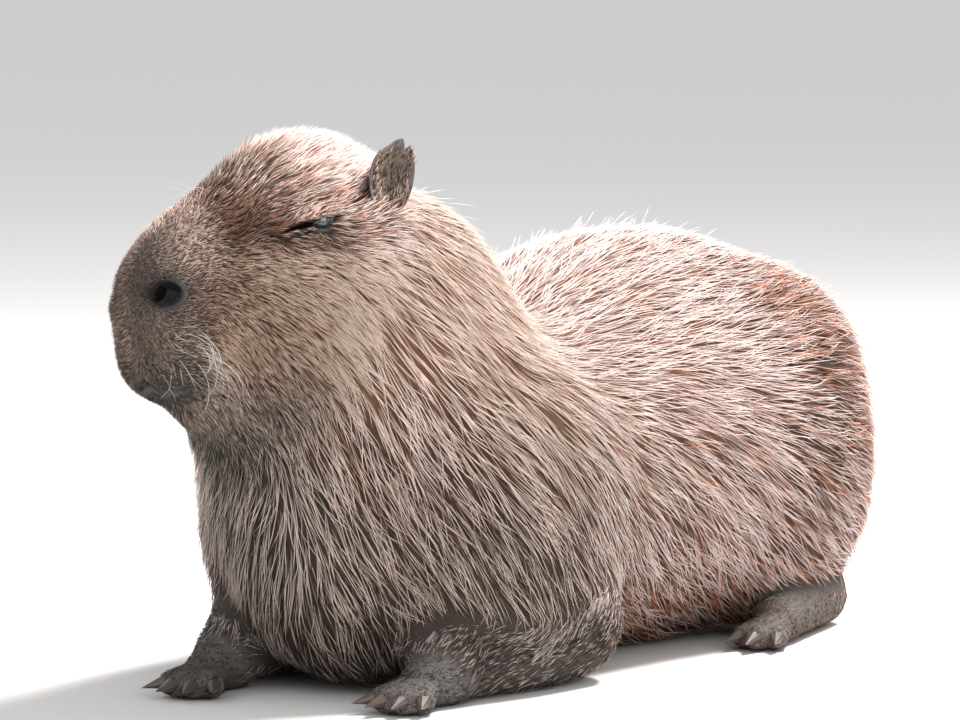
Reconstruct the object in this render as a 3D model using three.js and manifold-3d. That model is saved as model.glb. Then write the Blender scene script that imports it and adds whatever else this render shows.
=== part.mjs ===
// Capybara, life size, lying on its belly with its head raised and turned a little to its right.
// Millimetres, +Z up. The animal faces -Y, its left side is +X, and the floor is z = 0.
import * as THREE from 'three';
import { mergeVertices } from 'three/addons/utils/BufferGeometryUtils.js';
import Module from 'manifold-3d';

const wasm = await Module();
wasm.setup();

const V = (x, y, z) => new THREE.Vector3(x, y, z);
const radians = THREE.MathUtils.degToRad;

// Driving dimensions
const trunkHalfWidth = 200;
const backHeight = 338;
const chestFront = -350;
const rumpBack = 440;
const headYaw = -23;
const headPlace = V(-12, -272, 218);
const muzzleHalfWidth = 43;
const muzzleFront = -186;
const crownHeight = 218;
const eyeRadius = 13;
const eyePlace = V(56, -45, 156.5);
const eyeSlit = { length: 44, open: 5.5, tilt: 13, ahead: 15 };
const nostrilPlace = V(33, -178, 105);
const earPlace = V(54, 18, 186);
const earWidth = 42;
const earHeight = 64;
const earThickness = 25;
const toeRadius = 11;
const clawLength = 22;
const partingGap = 0.3;
const coatDepth = 16;
const coreInset = coatDepth / 2;
const lock = { length: 138, width: 88, thickness: 18, spacing: 66 };

// Seeded random numbers
let seed = 20251;
function random() {
  seed = (seed * 1664525 + 1013904223) % 4294967296;
  return seed / 4294967296;
}
const between = (low, high) => low + (high - low) * random();

// The head has a frame of its own, turned about the vertical
const headFrame = new THREE.Matrix4().makeRotationZ(radians(headYaw)).setPosition(headPlace);
const headFrameBack = headFrame.clone().invert();
const fromHead = (x, y, z) => V(x, y, z).applyMatrix4(headFrame);
const toHead = (point) => point.clone().applyMatrix4(headFrameBack);

// A mass of flesh is an ellipsoid: its centre, three radii and a turn in degrees
function mass(centre, radii, blend, turn = [0, 0, 0]) {
  const spin = new THREE.Quaternion().setFromEuler(new THREE.Euler(...turn.map(radians)));
  return { centre, radii, blend, unspin: spin.invert() };
}

// The same mass on the left and on the right
function pairOf(centre, radii, blend, turn = [0, 0, 0]) {
  const mirrored = [turn[0], -turn[1], -turn[2]];
  return [
    mass(centre, radii, blend, turn),
    mass(V(-centre.x, centre.y, centre.z), radii, blend, mirrored),
  ];
}

const scratch = V(0, 0, 0);
function distanceTo(part, point) {
  const q = scratch.copy(point).sub(part.centre).applyQuaternion(part.unspin);
  const { x, y, z } = part.radii;
  const near = Math.hypot(q.x / x, q.y / y, q.z / z);
  const slope = Math.hypot(q.x / (x * x), q.y / (y * y), q.z / (z * z));
  return slope < 1e-9 ? -Math.min(x, y, z) : (near * (near - 1)) / slope;
}

function smoothJoin(a, b, blend) {
  const share = Math.max(blend - Math.abs(a - b), 0) / blend;
  return Math.min(a, b) - (share * share * blend) / 4;
}

const fieldOf = (masses) => (point) =>
  masses.reduce((found, part) => smoothJoin(found, distanceTo(part, point), part.blend), 1e4);

// Trunk and neck, in the body's frame
const trunkMasses = [
  mass(V(0, 150, 140), V(trunkHalfWidth - 12, 285, 160), 60),
  mass(V(0, -62, 150), V(158, 235, 137), 60),
  mass(V(0, 172, 195), V(126, 225, backHeight - 195), 60),
  mass(V(0, 278, 178), V(142, rumpBack - 284, 138), 60, [10, 0, 0]),
  mass(V(0, -180, 190), V(92, 120, 98), 60),
  mass(V(0, chestFront + 120, 118), V(112, 118, 118), 60),
  ...pairOf(V(112, -165, 132), V(52, 98, 118), 50),
  ...pairOf(V(129, 246, 132), V(67, 142, 130), 50),
  ...pairOf(V(82, rumpBack - 104, 214), V(73, 84, 82), 44),
];
const neckMasses = [
  mass(V(-4, -195, 282), V(98, 118, 112), 70, [-25, 0, 0]),
  mass(V(-16, -258, 232), V(107, 106, 108), 70),
];

// Head, in the head's own frame, from the level of the chin
const headMasses = [
  mass(V(0, -22, 130), V(64, 84, crownHeight - 130), 30, [10, 0, 0]),
  mass(V(0, -84, 130), V(46, 86, 60), 30, [26, 0, 0]),
  mass(V(0, muzzleFront + 62, 82), V(muzzleHalfWidth, 62, 46), 26, [22, 0, 0]),
  mass(V(0, -110, 37), V(32, 47, 43), 22),
  ...pairOf(V(40, -40, 84), V(40, 82, 74), 40, [8, 0, -6]),
  ...pairOf(V(20, muzzleFront + 34, 90), V(24, 34, 30), 18),
  ...pairOf(V(18, muzzleFront + 41, 53.5), V(26, 36, 34.5), 16),
  ...pairOf(V(38, eyePlace.y - eyeSlit.ahead, eyePlace.z + 2), V(18, 34, 18), 16),
  mass(V(0, muzzleFront + 39, 120), V(33, 45, 32), 24, [42, 0, 0]),
];
const bodyField = fieldOf([...trunkMasses, ...neckMasses]);
const skullField = fieldOf(headMasses);
const neckBlend = 50;
const flesh = (point) => smoothJoin(bodyField(point), skullField(toHead(point)), neckBlend);

// Where the neck is parted from the trunk and the head from the neck
const neckRoot = { point: V(0, -212, 205), normal: V(-0.08, -0.74, 0.67).normalize() };
const headRoot = {
  point: fromHead(0, -18, 104),
  normal: V(0, -0.86, 0.51).transformDirection(headFrame),
};
const beyond = (plane, point) => plane.normal.dot(scratch.copy(point).sub(plane.point));

// A closed geometry as a solid, and back
function solidOf(geometry) {
  const bare = new THREE.BufferGeometry().setAttribute('position', geometry.getAttribute('position'));
  if (geometry.index) bare.setIndex(geometry.index);
  const merged = mergeVertices(bare, 1e-4);
  return new wasm.Manifold(new wasm.Mesh({
    numProp: 3,
    vertProperties: new Float32Array(merged.attributes.position.array),
    triVerts: new Uint32Array(merged.index.array),
  }));
}

function geometryOf(solid) {
  const mesh = solid.getMesh();
  const places = new Float32Array(mesh.numVert * 3);
  for (let i = 0; i < mesh.numVert; i++) {
    places.set(mesh.vertProperties.subarray(i * mesh.numProp, i * mesh.numProp + 3), i * 3);
  }
  const geometry = new THREE.BufferGeometry();
  geometry.setAttribute('position', new THREE.BufferAttribute(places, 3));
  geometry.setIndex(new THREE.BufferAttribute(new Uint32Array(mesh.triVerts), 1));
  geometry.computeVertexNormals();
  return geometry;
}

const joined = (solids) => solids.reduce((sum, next) => sum.add(next));
const largest = (solid) =>
  solid.decompose().reduce((best, next) => (next.volume() > best.volume() ? next : best));

// A big block that fills one side of a plane, to cut with
const blockSize = 2400;
function halfSpace(plane, offset) {
  const block = new THREE.BoxGeometry(blockSize, blockSize, blockSize);
  block.translate(0, 0, blockSize / 2 + offset);
  block.applyQuaternion(new THREE.Quaternion().setFromUnitVectors(V(0, 0, 1), plane.normal));
  block.translate(...plane.point);
  return solidOf(block);
}
const underFloor = halfSpace({ point: V(0, 0, 0), normal: V(0, 0, -1) }, 0);

// Walks out along a ray from a point inside until the field says the surface is reached
const walkSteps = 60;
function surfaceAlong(field, from, direction, reach) {
  let gone = 0;
  for (let i = 0; i < walkSteps && gone < reach; i++) {
    const left = -field(scratchPoint.copy(direction).multiplyScalar(gone).add(from));
    if (Math.abs(left) < 0.02) break;
    gone += left * 0.8;
  }
  return direction.clone().multiplyScalar(Math.min(gone, reach)).add(from);
}
const scratchPoint = V(0, 0, 0);

// A capsule whose wall is pulled out onto the surface of a field, from a straight core line
function skinOver(field, from, to, { around, along, cap, reach = 400 }) {
  const core = to.clone().sub(from);
  const geometry = new THREE.CapsuleGeometry(1, core.length(), cap, around, along);
  const turn = new THREE.Quaternion().setFromUnitVectors(V(0, 1, 0), core.clone().normalize());
  const middle = from.clone().add(to).multiplyScalar(0.5);
  const half = core.length() / 2;
  const places = geometry.getAttribute('position');
  for (let i = 0; i < places.count; i++) {
    const own = V(0, 0, 0).fromBufferAttribute(places, i);
    const foot = V(0, THREE.MathUtils.clamp(own.y, -half, half), 0);
    const out = own.sub(foot).applyQuaternion(turn).normalize();
    const reached = surfaceAlong(field, foot.applyQuaternion(turn).add(middle), out, reach);
    places.setXYZ(i, reached.x, reached.y, reached.z);
  }
  return solidOf(geometry);
}

// An ellipsoid as a solid
function ball(centre, radii, turn = [0, 0, 0], around = 16) {
  const geometry = new THREE.SphereGeometry(1, around, Math.round(around * 0.6));
  geometry.scale(radii.x, radii.y, radii.z);
  geometry.applyQuaternion(new THREE.Quaternion().setFromEuler(new THREE.Euler(...turn.map(radians))));
  geometry.translate(...centre);
  return solidOf(geometry);
}

// A round bar along a curve, closed at both ends
function bar(points, radius, steps, sides = 6) {
  const outline = new THREE.Shape();
  for (let i = 0; i < sides; i++) {
    const angle = (i / sides) * Math.PI * 2;
    const corner = [Math.cos(angle) * radius, Math.sin(angle) * radius];
    if (i === 0) outline.moveTo(...corner);
    else outline.lineTo(...corner);
  }
  const path = new THREE.CatmullRomCurve3(points);
  return solidOf(new THREE.ExtrudeGeometry(outline, { steps, bevelEnabled: false, extrudePath: path }));
}

// A tapering round limb between two points
function limb(from, to, radiusFrom, radiusTo, flatten = 1, around = 10) {
  const core = to.clone().sub(from);
  const geometry = new THREE.CapsuleGeometry(1, core.length(), 3, around, 1);
  const half = core.length() / 2;
  const places = geometry.getAttribute('position');
  for (let i = 0; i < places.count; i++) {
    const y = places.getY(i);
    const foot = THREE.MathUtils.clamp(y, -half, half);
    const share = (foot + half) / (2 * half);
    const radius = THREE.MathUtils.lerp(radiusFrom, radiusTo, share);
    const own = V(places.getX(i), y - foot, places.getZ(i)).multiplyScalar(radius);
    places.setXYZ(i, own.x, own.y + foot, own.z);
  }
  geometry.applyQuaternion(new THREE.Quaternion().setFromUnitVectors(V(0, 1, 0), core.normalize()));
  geometry.scale(1, 1, flatten);
  const middle = from.clone().add(to).multiplyScalar(0.5);
  geometry.translate(middle.x, middle.y, middle.z);
  return solidOf(geometry);
}

// Each piece is made a little past its cuts, then cut
const overrun = 45;

// Torso: everything behind the neck's root, its core inside the locks except under the belly
const coreTop = 70;
const torsoInset = (point) => coreInset * THREE.MathUtils.smoothstep(point.z, 10, coreTop);
const torsoField = (point) =>
  Math.max(flesh(point) + torsoInset(point), beyond(neckRoot, point) - overrun, -point.z - 12);

// Neck: the slanting slab between the two cuts
const neckInset = (point) => coreInset * THREE.MathUtils.smoothstep(-beyond(headRoot, point), 0, 60);
const neckField = (point) =>
  Math.max(flesh(point) + neckInset(point), -beyond(neckRoot, point) - overrun, beyond(headRoot, point) - overrun, -point.z);

// Coat: flat tapered locks that follow the lie of the hair
const mix = THREE.MathUtils.lerp;
const rise = (low, high, value) => THREE.MathUtils.smoothstep(value, low, high);

// Out of a surface, from the slope of its field
function outOf(field, point) {
  const step = 3;
  const slope = (axis) => field(point.clone().addScaledVector(axis, step))
    - field(point.clone().addScaledVector(axis, -step));
  return V(slope(V(1, 0, 0)), slope(V(0, 1, 0)), slope(V(0, 0, 1))).normalize();
}

// The way the hair lies: back along the spine, down and back on the flank, and down over the
// shoulder, the brisket and the rump
function lieAt(point, out) {
  const side = Math.abs(out.x);
  const front = 1 - rise(-230, 40, point.y);
  const end = rise(330, 430, point.y);
  const down = mix(mix(0.25, 0.75, side), 1.5, front * side) + end * 2;
  const way = V(0.25 * Math.sign(point.x) * side * (1 - side), 1 - 0.8 * end, -down);
  return way.addScaledVector(out, -way.dot(out)).normalize();
}

// One lock: a three-sided spike, ridged outside and bent along the surface, its root under the core
const lockBends = 3;
const lockLifts = [-24, -10, -5, 0];
const sharpestBend = 0.82;
function lockForm(root, scale) {
  const line = [];
  let here = root.clone();
  let before = null;
  for (let i = 0; i <= lockBends; i++) {
    const out = outOf(flesh, here);
    const way = lieAt(here, out);
    if (before && before.dot(way) < sharpestBend) return [];
    before = way;
    line.push({ at: here.clone().addScaledVector(out, lockLifts[i]), out, across: way.clone().cross(out) });
    here = here.clone().addScaledVector(way, (lock.length * scale) / lockBends);
    here.addScaledVector(outOf(flesh, here), -flesh(here));
  }
  const geometry = new THREE.ConeGeometry(1, 1, 3, lockBends);
  const places = geometry.getAttribute('position');
  for (let i = 0; i < places.count; i++) {
    const { at, out, across } = line[Math.round((places.getY(i) + 0.5) * lockBends)];
    const reached = at.clone()
      .addScaledVector(across, (places.getX(i) * lock.width * scale) / 2)
      .addScaledVector(out, (places.getZ(i) * lock.thickness) / 2);
    places.setXYZ(i, reached.x, reached.y, reached.z);
  }
  return [solidOf(geometry)];
}

// Rows of locks around a core line, from one angle to the other, measured from the top
function lockRows(from, to, rows, reachAngle, keep) {
  const core = to.clone().sub(from).normalize();
  const across = V(1, 0, 0).addScaledVector(core, -core.x).normalize();
  const up = across.clone().cross(core).multiplyScalar(-1);
  if (up.z < 0) up.negate();
  const locks = [];
  for (let row = 0; row < rows; row++) {
    const middle = from.clone().lerp(to, rows === 1 ? 0.5 : row / (rows - 1));
    const count = Math.round((radians(reachAngle) * 2 * 165) / lock.spacing);
    for (let i = 0; i <= count; i++) {
      const share = (i + (row % 2) * 0.5 + between(-0.12, 0.12)) / count;
      const angle = radians(mix(-reachAngle, reachAngle, share));
      const way = up.clone().multiplyScalar(Math.cos(angle)).addScaledVector(across, Math.sin(angle));
      const root = surfaceAlong(flesh, middle, way, 400);
      if (root.z > 45 && keep(root)) locks.push(...lockForm(root, between(0.88, 1.12)));
    }
  }
  return locks;
}

function trunkLocks() {
  const onTrunk = (root) => beyond(neckRoot, root) < 10 && root.y < 425;
  const locks = lockRows(V(0, 330, 140), V(0, -200, 140), 7, 108, onTrunk);
  const domes = [
    { from: V(0, 300, 140), facing: 1, rings: [[28, 4], [62, 9]] },
    { from: V(0, -215, 125), facing: -1, rings: [[8, 3], [40, 7], [72, 10]] },
  ];
  for (const { from, facing, rings } of domes) {
    for (const [angle, count] of rings) {
      for (let i = 0; i < count; i++) {
        const turn = radians(mix(-105, 105, (i + 0.5) / count));
        const tip = radians(angle);
        const way = V(Math.sin(turn) * Math.sin(tip), facing * Math.cos(tip), Math.cos(turn) * Math.sin(tip));
        const root = surfaceAlong(flesh, from, way, 400);
        if (beyond(neckRoot, root) < 0) locks.push(...lockForm(root, between(0.85, 1)));
      }
    }
  }
  return joined(locks);
}

function neckLocks() {
  const onNeck = (root) => beyond(neckRoot, root) > -40 && beyond(headRoot, root) < 5;
  return joined(lockRows(V(0, -190, 190), fromHead(0, -5, 118), 3, 170, onNeck));
}

function makeNeck() {
  const back = { point: neckRoot.point, normal: neckRoot.normal.clone().negate() };
  const core = skinOver(neckField, V(0, -205, 215), fromHead(0, -20, 110), { around: 24, along: 5, cap: 4 });
  return largest(core.add(neckLocks())
    .subtract(halfSpace(back, -partingGap / 2))
    .subtract(halfSpace(headRoot, -partingGap / 2)));
}

// Head, in the head's own frame
const localRoot = { point: V(0, -18, 104), normal: V(0, -0.86, 0.51) };
const headField = (point) => {
  const world = point.clone().applyMatrix4(headFrame);
  return Math.max(flesh(world), -beyond(localRoot, point) - overrun);
};
const skullCore = V(0, -95, 100);
const onHead = (x, y, z) => {
  const target = V(x, y, z);
  return surfaceAlong(headField, skullCore, target.sub(skullCore).normalize(), 300);
};
const mirrorX = (solid) => solid.mirror([1, 0, 0]);
const bothSides = (solid) => solid.add(mirrorX(solid));

// A point on the edge of the left eye's slit, which reaches ahead of the ball: share runs from
// the front corner to the back one
function slitPoint(share, side) {
  const along = (share - 0.5) * eyeSlit.length - eyeSlit.ahead;
  const rise = side * Math.sin(share * Math.PI) * eyeSlit.open * 0.5;
  const tilt = radians(eyeSlit.tilt);
  const y = eyePlace.y + along * Math.cos(tilt);
  const z = eyePlace.z + along * Math.sin(tilt) + rise;
  return surfaceAlong(headField, V(20, y, z), V(1, 0, 0), 200);
}

const eyeBall = (grow) => ball(eyePlace, V(1, 1, 1).multiplyScalar(eyeRadius + grow), [0, 90, 0], 12);

function eyeOpening() {
  const radii = V(14, eyeSlit.length / 2, eyeSlit.open / 2);
  const middle = slitPoint(0.5, 0);
  return ball(middle, radii, [eyeSlit.tilt, 0, 0], 12);
}

function eyeLid(side) {
  const shares = [0, 0.25, 0.5, 0.75, 1];
  return bar(shares.map((share) => slitPoint(share, side * 1.7)), 2.4, 8);
}

function nostril() {
  const middle = onHead(nostrilPlace.x, nostrilPlace.y, nostrilPlace.z);
  return ball(middle, V(6, 10, 6.5), [-25, 0, 28], 10);
}

function mouthLine() {
  const half = [V(33, -104, 44), V(33, -128, 34), V(27, -152, 27), V(12, -178, 23)];
  const points = [...half, ...half.map((p) => V(-p.x, p.y, p.z)).reverse()];
  return bar(points.map((p) => onHead(p.x, p.y, p.z)), 3.2, 20, 4);
}

function lipCleft() {
  return bar([V(0, -190, 88), V(0, -192, 66), V(0, -188, 44), V(0, -180, 24)].map((p) => onHead(p.x, p.y, p.z)), 2.4, 8, 5);
}

// The left ear: a cup that opens outwards, with its root in the head and the neck
function earForm(grow, hollow = true) {
  const radii = V(earWidth / 2 + grow, earThickness / 2 + grow, earHeight / 2 + grow);
  let cup = ball(V(0, 0, 0), radii, [0, 0, 0], 14);
  if (hollow) {
    const inside = V(radii.x - 5, radii.y - 2, radii.z - 6);
    cup = cup.subtract(ball(V(0, -9, 2), inside, [0, 0, 0], 12));
  }
  return cup.rotate([-5, 18, 88]).translate([earPlace.x, earPlace.y, earPlace.z]);
}

function makeHead() {
  const back = { point: localRoot.point, normal: localRoot.normal.clone().negate() };
  const bare = skinOver(headField, V(0, -25, 112), V(0, -132, 76), { around: 30, along: 11, cap: 6 })
    .subtract(halfSpace(back, -partingGap / 2));
  const lidded = bare.add(bothSides(joined([eyeLid(1), eyeLid(-1)])));
  const cuts = [eyeBall(partingGap), eyeOpening(), nostril(), earForm(partingGap, false)].map(bothSides);
  return largest(lidded.subtract(joined([...cuts, mouthLine(), lipCleft()])));
}

// Forelegs: the upper arm is a share of the trunk, and the forearm lies forwards on the floor
const elbow = V(118, -120, 44);
const wrist = V(96, -276, 27);
const shoulderPart = (grow) =>
  ball(V(158, -172, 112), V(72 + grow, 84 + grow, 122 + grow), [0, 0, 0], 16);
const forearm = (grow) => limb(elbow, wrist, 46 + grow, 29 + grow);

// A foot: a flat sole with toes that fan out forwards, from its heel
function footForm({ heel, sole, toes, spread, reach, heading }, grow) {
  const pieces = [limb(heel, sole, toeRadius * 1.9 + grow, toeRadius * 1.9 + grow, 1, 8)];
  for (const tip of toeTips({ sole, toes, spread, reach, heading })) {
    pieces.push(limb(sole, tip.place, toeRadius * 1.2 + grow, toeRadius + grow, 1, 6));
  }
  return joined(pieces);
}

function toeTips({ sole, toes, spread, reach, heading }) {
  return Array.from({ length: toes }, (_, i) => {
    const turn = radians(heading + (i - (toes - 1) / 2) * spread);
    const length = reach * (1 - 0.12 * Math.abs(i - (toes - 1) / 2));
    const direction = V(Math.sin(turn), -Math.cos(turn), 0);
    const place = V(sole.x, sole.y, toeRadius - 1).addScaledVector(direction, length);
    return { place, direction, turn };
  });
}

const foreFoot = {
  heel: V(96, -280, 20), sole: V(94, -308, 19), toes: 4, spread: 19, reach: 46, heading: -2,
};
const hindFoot = {
  heel: V(150, 290, 20), sole: V(172, 160, 19), toes: 3, spread: 17, reach: 54, heading: 6,
};

// A claw: a blunt cone at the end of a toe, its root in the toe
function clawForm(tip, grow) {
  const cone = new THREE.ConeGeometry(7 + grow, clawLength + 2 * grow, 8, 1);
  cone.scale(1, 1, 0.8);
  cone.rotateX(Math.PI + radians(8));
  cone.rotateZ(tip.turn);
  const middle = tip.place.clone().addScaledVector(tip.direction, toeRadius + clawLength * 0.28);
  cone.translate(middle.x, middle.y, middle.z + 0.5);
  return solidOf(cone);
}

const clawsOf = (foot, grow) => toeTips(foot).map((tip) => clawForm(tip, grow));

// Hind legs: the thigh and the knee are a share of the trunk
const thighPart = (grow) =>
  ball(V(190, 225, 98), V(92 + grow, 172 + grow, 138 + grow), [10, 0, 0], 20);

// Assembly
const coat = new THREE.MeshStandardMaterial({ name: 'coat', color: 0x8a6248, roughness: 0.85 });
const foot = new THREE.MeshStandardMaterial({ name: 'foot', color: 0x4d4038, roughness: 0.7 });
const horn = new THREE.MeshStandardMaterial({ name: 'claw', color: 0x2c2622, roughness: 0.45 });
const ear = new THREE.MeshStandardMaterial({ name: 'ear', color: 0x6d625c, roughness: 0.75 });
const eye = new THREE.MeshStandardMaterial({ name: 'eye', color: 0x120d0a, roughness: 0.12 });

function meshOf(name, solid, material) {
  const mesh = new THREE.Mesh(geometryOf(solid), material);
  mesh.name = name;
  return mesh;
}

function tailForm(grow) {
  return limb(V(0, rumpBack - 36, 142), V(0, rumpBack + 3, 128), 17 + grow, 8 + grow, 1, 8);
}

const capybara = new THREE.Group();
const flipped = [['left', (solid) => solid], ['right', mirrorX]];
const toBody = (solid) => solid.rotate([0, 0, headYaw]).translate([headPlace.x, headPlace.y, headPlace.z]);
const trunk = skinOver(torsoField, V(0, 290, 140), V(0, -225, 125), { around: 22, along: 11, cap: 4 })
  .add(trunkLocks()).subtract(underFloor);
const whole = trunk.subtract(halfSpace(neckRoot, -partingGap / 2));
const limbsOff = [
  shoulderPart(partingGap), forearm(partingGap), footForm(foreFoot, partingGap),
  thighPart(partingGap), footForm(hindFoot, partingGap),
].map(bothSides);
const torso = largest(whole.subtract(joined([...limbsOff, tailForm(partingGap)])));
const earRoots = toBody(bothSides(earForm(partingGap, false)));
const neck = largest(makeNeck().subtract(joined([...limbsOff, earRoots])));
capybara.add(meshOf('torso', torso, coat), meshOf('neck', neck, coat));
capybara.add(meshOf('tail', tailForm(0), coat));

for (const [side, flip] of flipped) {
  const foreleg = largest(trunk.intersect(shoulderPart(0)).add(forearm(0))
    .subtract(footForm(foreFoot, partingGap))
    .subtract(underFloor));
  capybara.add(meshOf(`foreleg_${side}`, flip(foreleg), coat));
  const thigh = largest(whole.intersect(thighPart(0)).subtract(footForm(hindFoot, partingGap)));
  capybara.add(meshOf(`hind_leg_${side}`, flip(thigh), coat));
  for (const [name, form] of [['forefoot', foreFoot], ['hind_foot', hindFoot]]) {
    const paw = footForm(form, 0).subtract(joined(clawsOf(form, partingGap))).subtract(underFloor);
    capybara.add(meshOf(`${name}_${side}`, flip(largest(paw)), foot));
    clawsOf(form, 0).forEach((claw, i) => {
      capybara.add(meshOf(`${name}_${side}_claw_${i + 1}`, flip(claw.subtract(underFloor)), horn));
    });
  }
}

const headGroup = new THREE.Group();
headGroup.applyMatrix4(headFrame);
headGroup.add(meshOf('head', makeHead(), coat));
for (const [side, flip] of flipped) {
  headGroup.add(meshOf(`ear_${side}`, flip(earForm(0)), ear), meshOf(`eye_${side}`, flip(eyeBall(0)), eye));
}
capybara.add(headGroup);

export default capybara;
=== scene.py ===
# %% [markdown]
# A life-size capybara that lies on its belly with its head raised.
# The solids give the size and the places of the parts. This script grows one skin over the same
# masses of flesh, sets the eyes, ears and claws into it, and covers it with a coat of small solid
# tufts that follow the way the hair lies.
# Lengths are millimetres, as in the solids, and MM turns them into Blender's metres.

# %% Load the solids
import math

import bmesh
import bpy
import numpy as np
from mathutils import Matrix, Vector


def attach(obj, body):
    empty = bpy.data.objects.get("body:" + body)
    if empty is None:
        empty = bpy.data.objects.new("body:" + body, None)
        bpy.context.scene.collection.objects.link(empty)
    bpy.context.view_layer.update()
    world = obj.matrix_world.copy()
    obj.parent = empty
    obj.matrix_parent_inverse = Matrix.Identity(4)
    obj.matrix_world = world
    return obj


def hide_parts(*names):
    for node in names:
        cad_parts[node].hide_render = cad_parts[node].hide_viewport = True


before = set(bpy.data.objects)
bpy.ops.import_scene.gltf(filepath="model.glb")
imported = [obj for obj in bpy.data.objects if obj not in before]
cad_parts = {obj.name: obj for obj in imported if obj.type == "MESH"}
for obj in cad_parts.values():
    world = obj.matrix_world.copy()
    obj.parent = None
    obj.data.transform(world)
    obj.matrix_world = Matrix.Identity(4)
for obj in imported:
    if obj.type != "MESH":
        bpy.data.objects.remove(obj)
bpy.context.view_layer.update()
MM = 0.001
scene = bpy.context.scene
rng = np.random.default_rng(20251)

# %% [markdown]
# ## Sizes
# The head has a frame of its own: x to the animal's left, -y to its nose, z up from the chin.
# It is turned about the vertical and set on the neck. In the functions, `points` are places in
# the body's frame and `q` the same places in the head's.

# %% Named sizes
HEAD_YAW = math.radians(-23)
HEAD_PLACE = np.array([-12.0, -272.0, 218.0])
RUMP_BACK = 440.0
BACK_HEIGHT = 338.0
CHEST_FRONT = -350.0
MUZZLE_FRONT = -186.0
CROWN_HEIGHT = 218.0
EYE_PLACE = np.array([56.0, -45.0, 156.5])
EYE_RADIUS = 13.0
EYE_SINK = (3.2, 0.0, 1.8)
SLIT_LENGTH = 58.0
SLIT_TILT = math.radians(13)
SLIT_AHEAD = 19.0
SLIT_SHIFT = 2.0
NOSTRIL = np.array([33.0, -178.0, 105.0])
EAR_PLACE = np.array([54.0, 18.0, 186.0])
SKIN_DEPTH_BODY = 8.0
SKIN_DEPTH_FACE = 3.0
SKIN_DEPTH_FOREARM = 3.5
SKIN_DEPTH_MUZZLE = 1.6
SKIN_DEPTH_PAW = 1.2
LOWEST_HAIR = 1.3
print("head at", HEAD_PLACE, "turned", round(math.degrees(HEAD_YAW)))

# %% [markdown]
# ## Flesh
# A mass is an ellipsoid. The masses are joined by a smooth minimum of their distances, so that
# one runs into the next as flesh does. Legs and toes are tapered rods. Metaballs could do the
# same, but a formula also says how deep the root of a hair lies.

# %% The masses
def mass(centre, radii, blend, turn=(0, 0, 0)):
    x, y, z = (math.radians(a) for a in turn)
    spin = Matrix.Rotation(x, 3, "X") @ Matrix.Rotation(y, 3, "Y") @ Matrix.Rotation(z, 3, "Z")
    return {
        "centre": np.array(centre, float),
        "radii": np.array(radii, float),
        "blend": blend,
        "spin": np.array(spin),
    }


def pair(centre, radii, blend, turn=(0, 0, 0)):
    x, y, z = centre
    a, b, c = turn
    return [
        mass((x, y, z), radii, blend, (a, b, c)),
        mass((-x, y, z), radii, blend, (a, -b, -c)),
    ]


BODY = [
    mass((0, 150, 140), (188, 285, 160), 60),
    mass((0, -62, 150), (158, 235, 137), 60),
    mass((0, 172, 195), (126, 225, BACK_HEIGHT - 195), 60),
    mass((0, 278, 178), (142, RUMP_BACK - 284, 138), 60, (10, 0, 0)),
    mass((0, -180, 190), (92, 120, 98), 60),
    mass((0, CHEST_FRONT + 120, 118), (112, 118, 118), 60),
    *pair((112, -165, 132), (52, 98, 118), 50),
    *pair((129, 246, 132), (67, 142, 130), 50),
    *pair((82, RUMP_BACK - 104, 214), (73, 84, 82), 44),
    mass((-4, -195, 282), (98, 118, 112), 70, (-25, 0, 0)),
    mass((-16, -258, 232), (107, 106, 108), 70),
]
HEAD = [
    mass((0, -22, 130), (64, 84, CROWN_HEIGHT - 130), 30, (10, 0, 0)),
    mass((0, -84, 130), (46, 86, 60), 30, (26, 0, 0)),
    mass((0, MUZZLE_FRONT + 62, 82), (43, 62, 46), 26, (22, 0, 0)),
    mass((0, -110, 37), (32, 47, 43), 22),
    *pair((40, -40, 84), (40, 82, 74), 40, (8, 0, -6)),
    *pair((20, MUZZLE_FRONT + 34, 90), (24, 34, 30), 18),
    *pair((18, MUZZLE_FRONT + 41, 53.5), (26, 36, 34.5), 16),
    *pair((38, EYE_PLACE[1] - SLIT_AHEAD, EYE_PLACE[2] + 2), (18, 34, 18), 16),
    mass((0, MUZZLE_FRONT + 39, 120), (33, 45, 32), 24, (42, 0, 0)),
]


def limb(start, end, radius_start, radius_end, blend):
    return {
        "start": np.array(start, float),
        "end": np.array(end, float),
        "radii": (radius_start, radius_end),
        "blend": blend,
    }


def toes(sole, count, spread, reach, heading):
    """Rods from the ball of a foot to the tips of its spread toes."""
    found = []
    for i in range(count):
        step = i - (count - 1) / 2
        turn = math.radians(heading + step * spread)
        length = reach * (1 - 0.12 * abs(step))
        tip = (sole[0] + math.sin(turn) * length, sole[1] - math.cos(turn) * length, 11)
        found.append(limb((*sole, 17), tip, 13.5, 11, 7))
    return found


FORE_SOLE, HIND_SOLE = (94, -308), (172, 160)
LIMBS = [
    limb((118, -120, 44), (96, -276, 29), 45, 29, 34),
    limb((96, -280, 22), (*FORE_SOLE, 20), 21, 20, 14),
    limb((150, 290, 22), (*HIND_SOLE, 20), 22, 20, 20),
    *toes(FORE_SOLE, 4, 19, 46, -2),
    *toes(HIND_SOLE, 3, 17, 54, 6),
]
TAIL = limb((0, RUMP_BACK - 36, 142), (0, RUMP_BACK + 1, 130), 16, 8, 24)
print("masses", len(BODY), len(HEAD), "limbs", len(LIMBS))


# %% [markdown]
# `flesh` says how far points are outside the animal, and `outward` which way its surface faces.
# `bump` is 1 at zero and fades with distance, and `rise` climbs from 0 to 1 between two values.

# %% Distances
def smooth_join(a, b, blend):
    share = np.maximum(blend - np.abs(a - b), 0) / blend
    return np.minimum(a, b) - share * share * blend / 4


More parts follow.
